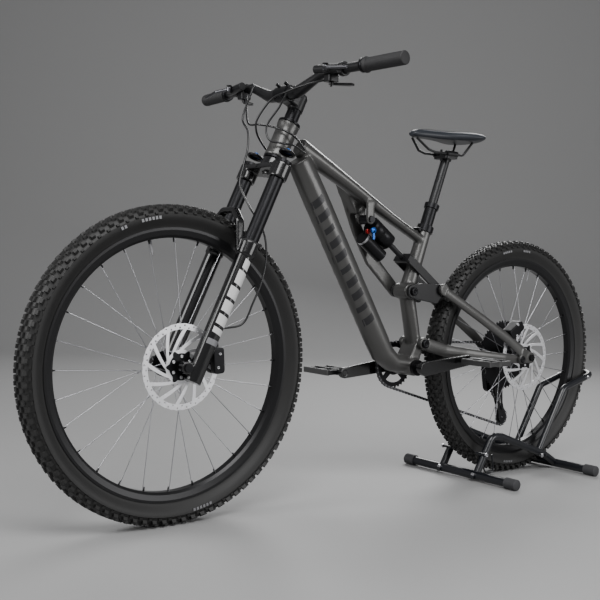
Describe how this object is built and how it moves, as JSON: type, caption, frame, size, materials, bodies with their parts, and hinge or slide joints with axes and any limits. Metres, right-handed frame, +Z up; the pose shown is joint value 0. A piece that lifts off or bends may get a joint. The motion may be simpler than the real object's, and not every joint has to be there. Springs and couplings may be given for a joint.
{
  "type": "mountain bicycle on stand",
  "caption": "Full-suspension mountain bicycle with disc brakes, dropper seatpost and clutch derailleur, its rear wheel held in a tubular floor stand.",
  "frame": {"origin": "on the floor, half way between the front of the front tyre and the back of the stand, in the bicycle's middle plane", "axes": "+X forward, +Y to the rider's left, +Z up"},
  "size_m": [1.936, 0.8146, 1.0873],
  "materials": {
    "stand_paint": "satin",
    "cap_rubber": "ribbed matte",
    "bright_bolts": "zinc",
    "frame_paint": "satin gun-metal",
    "post_black": "anodised",
    "rail_steel": "satin",
    "saddle_cover": "matte",
    "fork_black": "gloss",
    "stanchion_black": "polished anodised",
    "cockpit_black": "gloss",
    "grip_rubber": "knurled",
    "control_black": "satin",
    "lever_silver": "satin",
    "tyre_black": "knobbly",
    "rim_black": "satin",
    "spoke_steel": "drawn",
    "rotor_steel": "ground",
    "hub_black": "satin",
    "cassette_steel": "satin",
    "shock_black": "satin",
    "shaft_chrome": "polished",
    "crank_black": "satin",
    "pedal_metal": "worn",
    "chain_steel": "oiled",
    "jockey_plastic": "matte",
    "derailleur_black": "satin",
    "hose_black": "gloss"
  },
  "bodies": {
    "stand": {"stand_foot_bars": "stand_paint", "stand_foot_caps": "cap_rubber", "stand_side_arches": "stand_paint", "stand_wheel_loop": "stand_paint", "stand_fittings": "bright_bolts"},
    "bike_frame": {"head_tube": "frame_paint", "top_tube": "frame_paint", "down_tube": "frame_paint", "seat_tube": "frame_paint", "bottom_bracket_shell": "frame_paint", "side_arm": "frame_paint", "frame_hardware": "bright_bolts", "dropper_outer": "post_black"},
    "seatpost": {"dropper_inner": "post_black", "saddle_rails": "rail_steel", "saddle": "saddle_cover"},
    "steering": {"fork_crown": "fork_black", "stanchions": "stanchion_black", "stem": "cockpit_black", "stem_hardware": "bright_bolts", "handlebar": "cockpit_black", "grips": "grip_rubber", "brake_masters": "control_black", "control_bodies": "control_black", "rear_hoses": "hose_black"},
    "left_lever": {"left_brake_lever": "lever_silver"},
    "right_lever": {"right_brake_lever": "lever_silver"},
    "shift_trigger": {"shift_paddle": "control_black"},
    "dropper_trigger": {"dropper_paddle": "control_black"},
    "fork_slider": {"fork_lowers": "fork_black", "front_axle": "bright_bolts", "front_caliper": "control_black", "front_brake_hose": "hose_black"},
    "front_wheel": {"front_tyre": "tyre_black", "front_rim": "rim_black", "front_spokes": "spoke_steel", "front_rotor": "rotor_steel", "front_hub": "hub_black"},
    "lower_stays": {"chainstays": "frame_paint", "chain": "chain_steel"},
    "upper_stays": {"seatstays": "frame_paint", "rear_axle": "bright_bolts", "rear_caliper": "control_black", "derailleur_body": "derailleur_black"},
    "rear_wheel": {"rear_tyre": "tyre_black", "rear_rim": "rim_black", "rear_spokes": "spoke_steel", "rear_rotor": "rotor_steel", "rear_hub": "hub_black"},
    "freewheel": {"cassette": "cassette_steel"},
    "rocker": {"rocker_link": "frame_paint"},
    "shock_body": {"shock_can": "shock_black"},
    "shock_rod": {"shock_shaft": "shaft_chrome"},
    "cranks": {"crank_set": "crank_black", "chainring": "crank_black"},
    "left_pedal_body": {"left_pedal": "pedal_metal"},
    "right_pedal_body": {"right_pedal": "pedal_metal"},
    "derailleur_arm": {"derailleur_cage": "derailleur_black"},
    "guide_wheel": {"upper_jockey_wheel": "jockey_plastic"},
    "tension_wheel": {"lower_jockey_wheel": "jockey_plastic"}
  },
  "joints": [
    {"name": "bike_lift", "type": "slide", "parent": "stand", "child": "bike_frame", "axis": [0, 0, 1], "range_m": [0, 0.4]},
    {"name": "seat_drop", "type": "slide", "parent": "bike_frame", "child": "seatpost", "axis": [0.3455, 0, -0.9384], "range_m": [0, 0.12], "stiffness_N_per_m": 400, "springref_m": -0.25},
    {"name": "steer", "type": "hinge", "parent": "bike_frame", "child": "steering", "pos_m": [0.28142, 0, 0.94251], "axis": [-0.4226, 0, 0.9063], "range_deg": [-65, 65], "deforming": ["rear_hoses"]},
    {"name": "left_brake", "type": "hinge", "parent": "steering", "child": "left_lever", "pos_m": [0.32179, 0.20055, 1.06984], "axis": [0, 0, 1], "range_deg": [0, 18], "stiffness_Nm_per_rad": 0.6, "springref_deg": -28.65},
    {"name": "right_brake", "type": "hinge", "parent": "steering", "child": "right_lever", "pos_m": [0.32179, -0.20055, 1.06984], "axis": [0, 0, -1], "range_deg": [0, 18], "stiffness_Nm_per_rad": 0.6, "springref_deg": -28.65},
    {"name": "shift_push", "type": "hinge", "parent": "steering", "child": "shift_trigger", "pos_m": [0.2864, -0.18065, 1.03584], "axis": [0, 0, -1], "range_deg": [0, 20], "stiffness_Nm_per_rad": 0.3, "springref_deg": -28.65},
    {"name": "dropper_push", "type": "hinge", "parent": "steering", "child": "dropper_trigger", "pos_m": [0.2864, 0.18065, 1.03584], "axis": [0, 0, 1], "range_deg": [0, 20], "stiffness_Nm_per_rad": 0.3, "springref_deg": -28.65},
    {"name": "fork_travel", "type": "slide", "parent": "steering", "child": "fork_slider", "axis": [-0.4226, 0, 0.9063], "range_m": [0, 0.15], "stiffness_N_per_m": 3000, "springref_m": -0.02, "deforming": ["front_brake_hose"]},
    {"name": "front_wheel_spin", "type": "hinge", "parent": "fork_slider", "child": "front_wheel", "pos_m": [0.596, 0, 0.372], "axis": [0, 1, 0], "continuous": true},
    {"name": "suspension", "type": "hinge", "parent": "bike_frame", "child": "lower_stays", "pos_m": [-0.187, 0, 0.402], "axis": [0, 1, 0], "range_deg": [0, 19], "stiffness_Nm_per_rad": 900, "springref_deg": -2.86, "deforming": ["chain"]},
    {"name": "dropout_pivot", "type": "hinge", "parent": "lower_stays", "child": "upper_stays", "pos_m": [-0.561, 0, 0.347], "axis": [0, 1, 0], "range_deg": [-9.8, 0.2]},
    {"name": "rear_wheel_spin", "type": "hinge", "parent": "upper_stays", "child": "rear_wheel", "pos_m": [-0.599, 0, 0.351], "axis": [0, 1, 0], "continuous": true},
    {"name": "freewheel_spin", "type": "hinge", "parent": "upper_stays", "child": "freewheel", "pos_m": [-0.599, -0.04, 0.351], "axis": [0, 1, 0], "continuous": true},
    {"name": "rocker_pivot", "type": "hinge", "parent": "bike_frame", "child": "rocker", "pos_m": [-0.144, 0, 0.547], "axis": [0, 1, 0], "range_deg": [-0.2, 42.2]},
    {"name": "shock_pivot", "type": "hinge", "parent": "bike_frame", "child": "shock_body", "pos_m": [0.006, 0, 0.738], "axis": [0, 1, 0], "range_deg": [-0.2, 9.2]},
    {"name": "shock_stroke", "type": "slide", "parent": "shock_body", "child": "shock_rod", "axis": [0.8133, 0, 0.5818], "range_m": [-0.001, 0.066]},
    {"name": "crank_spin", "type": "hinge", "parent": "bike_frame", "child": "cranks", "pos_m": [-0.16126, 0, 0.336], "axis": [0, 1, 0], "continuous": true},
    {"name": "left_pedal_spin", "type": "hinge", "parent": "cranks", "child": "left_pedal_body", "pos_m": [-0.33033, 0.14, 0.35377], "axis": [0, 1, 0], "continuous": true},
    {"name": "right_pedal_spin", "type": "hinge", "parent": "cranks", "child": "right_pedal_body", "pos_m": [0.00781, -0.14, 0.31823], "axis": [0, 1, 0], "continuous": true},
    {"name": "cage_swing", "type": "hinge", "parent": "upper_stays", "child": "derailleur_arm", "pos_m": [-0.605, -0.052, 0.24], "axis": [0, 1, 0], "range_deg": [-6, 10], "stiffness_Nm_per_rad": 3},
    {"name": "guide_wheel_spin", "type": "hinge", "parent": "derailleur_arm", "child": "guide_wheel", "pos_m": [-0.605, -0.052, 0.24], "axis": [0, 1, 0], "continuous": true},
    {"name": "tension_wheel_spin", "type": "hinge", "parent": "derailleur_arm", "child": "tension_wheel", "pos_m": [-0.625, -0.052, 0.152], "axis": [0, 1, 0], "continuous": true}
  ],
  "couplings": [
    {"joint": "dropout_pivot", "follows": "suspension", "ratio": -0.51},
    {"joint": "rocker_pivot", "follows": "suspension", "ratio": 2.21},
    {"joint": "shock_pivot", "follows": "suspension", "ratio": 0.474},
    {"joint": "shock_stroke", "follows": "suspension", "m_per_rad": 0.195},
    {"joint": "freewheel_spin", "follows": "crank_spin", "ratio": 1.7778}
  ]
}
